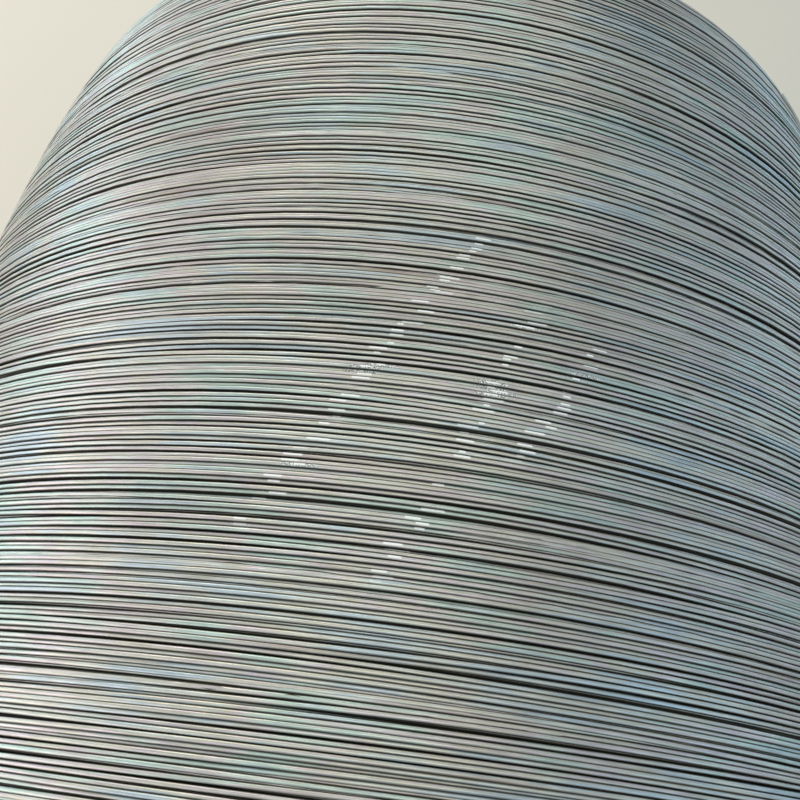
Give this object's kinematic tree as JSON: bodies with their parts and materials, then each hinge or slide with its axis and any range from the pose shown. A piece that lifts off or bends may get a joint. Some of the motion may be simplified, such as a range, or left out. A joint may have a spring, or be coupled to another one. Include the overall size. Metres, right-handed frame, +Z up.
{
  "type": "coil of wire rod",
  "caption": "Large bare coil of round steel wire rod lying on its side, wound in close turns with a wide round bore and rounded shoulders.",
  "frame": {"origin": "on the floor under the coil's middle, at the centre of the bottom of its bounding box", "axes": "+Z up; +Y along the coil's axis, level; +X across it"},
  "size_m": [1.3498, 1.4, 1.3498],
  "materials": {
    "rod_steel": "smooth bright grey rod with a faint coloured sheen"
  },
  "bodies": {
    "root": {"wire_coil": "rod_steel"}
  },
  "joints": []
}
